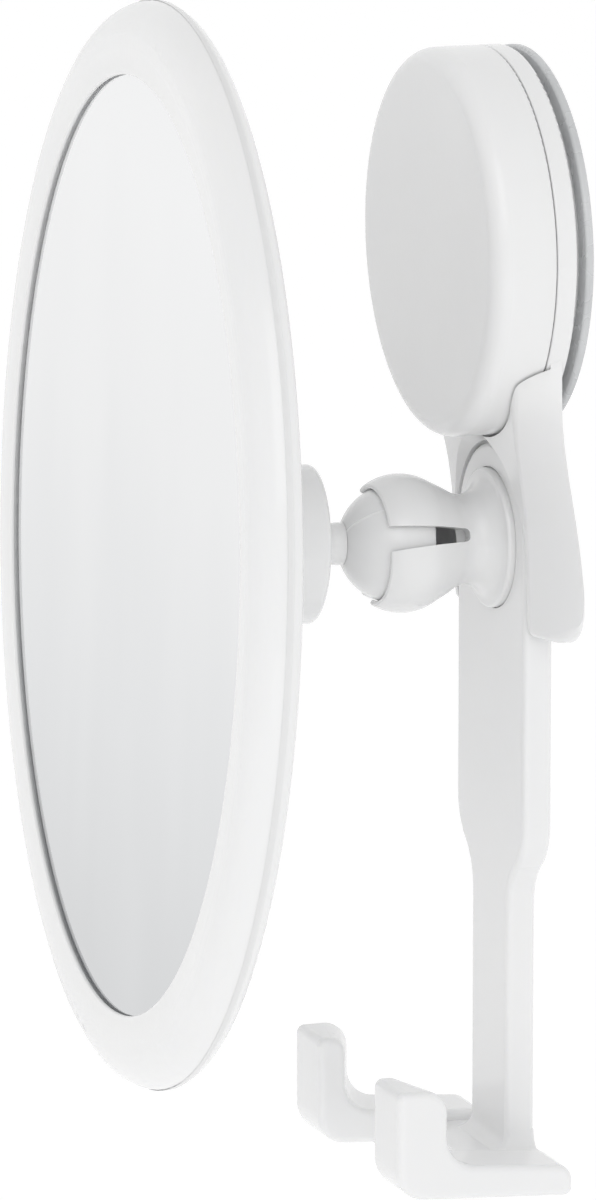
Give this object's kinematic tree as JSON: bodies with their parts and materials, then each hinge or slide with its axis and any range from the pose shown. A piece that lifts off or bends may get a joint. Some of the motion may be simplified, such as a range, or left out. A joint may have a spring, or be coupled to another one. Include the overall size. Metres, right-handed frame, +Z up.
{
  "type": "wall shaving mirror",
  "caption": "Round tilting shaving mirror on a ball joint, carried by an arm with a razor holder that slides into a twist-lock suction base.",
  "frame": {"origin": "centre of the suction pad's wall face", "axes": "+Y into the wall, so the mirror faces -Y; +Z up; +X to the right of a person facing the mirror"},
  "size_m": [0.1716, 0.074, 0.1905],
  "materials": {
    "white_plastic": "glossy moulded white",
    "pad_vinyl": "smooth grey translucent vinyl",
    "slip_plastic": "natural slippery plastic",
    "gasket_rubber": "pale grey sealing rubber",
    "foam": "soft grey adhesive foam",
    "steel": "plated",
    "brass": "machined",
    "mirror_silver": "silvered flat glass"
  },
  "bodies": {
    "base": {"suction_pad": "pad_vinyl", "base_bracket": "white_plastic", "thrust_washer": "slip_plastic"},
    "knob": {"knob_cap": "white_plastic", "knob_nut": "brass"},
    "plunger": {"pad_stud": "brass"},
    "arm": {"holder_arm": "white_plastic", "ball_socket": "white_plastic", "socket_washer": "steel", "socket_screw": "steel"},
    "ball": {"ball": "white_plastic"},
    "stem": {"ball_stem": "white_plastic", "stem_washer": "slip_plastic", "stem_screw": "steel"},
    "head": {"stem_boss": "white_plastic", "boss_screws": "steel", "back_shell": "white_plastic", "bezel_ring": "white_plastic", "glass_gasket": "gasket_rubber", "mirror_glass": "mirror_silver", "foam_backing": "foam"}
  },
  "joints": [
    {"name": "knob_twist", "type": "hinge", "parent": "base", "child": "knob", "pos_m": [0, 0, 0], "axis": [0, 1, 0], "range_deg": [0, 90]},
    {"name": "stud_draw", "type": "slide", "parent": "base", "child": "plunger", "axis": [0, -1, 0], "range_m": [0, 0.0017]},
    {"name": "arm_slide", "type": "slide", "parent": "base", "child": "arm", "axis": [0, 0, -1], "range_m": [0, 0.01]},
    {"name": "mirror_tilt", "type": "hinge", "parent": "arm", "child": "ball", "pos_m": [0, -0.0214, -0.0481], "axis": [1, 0, 0], "range_deg": [-16, 14]},
    {"name": "mirror_swing", "type": "hinge", "parent": "ball", "child": "stem", "pos_m": [0, -0.0214, -0.0481], "axis": [0, 0, 1], "range_deg": [-25, 25]},
    {"name": "mirror_spin", "type": "hinge", "parent": "stem", "child": "head", "pos_m": [0, -0.0214, -0.0481], "axis": [-0.0767, -0.9962, 0.0419], "continuous": true}
  ],
  "couplings": [
    {"joint": "stud_draw", "follows": "knob_twist", "m_per_rad": 0.001019}
  ]
}
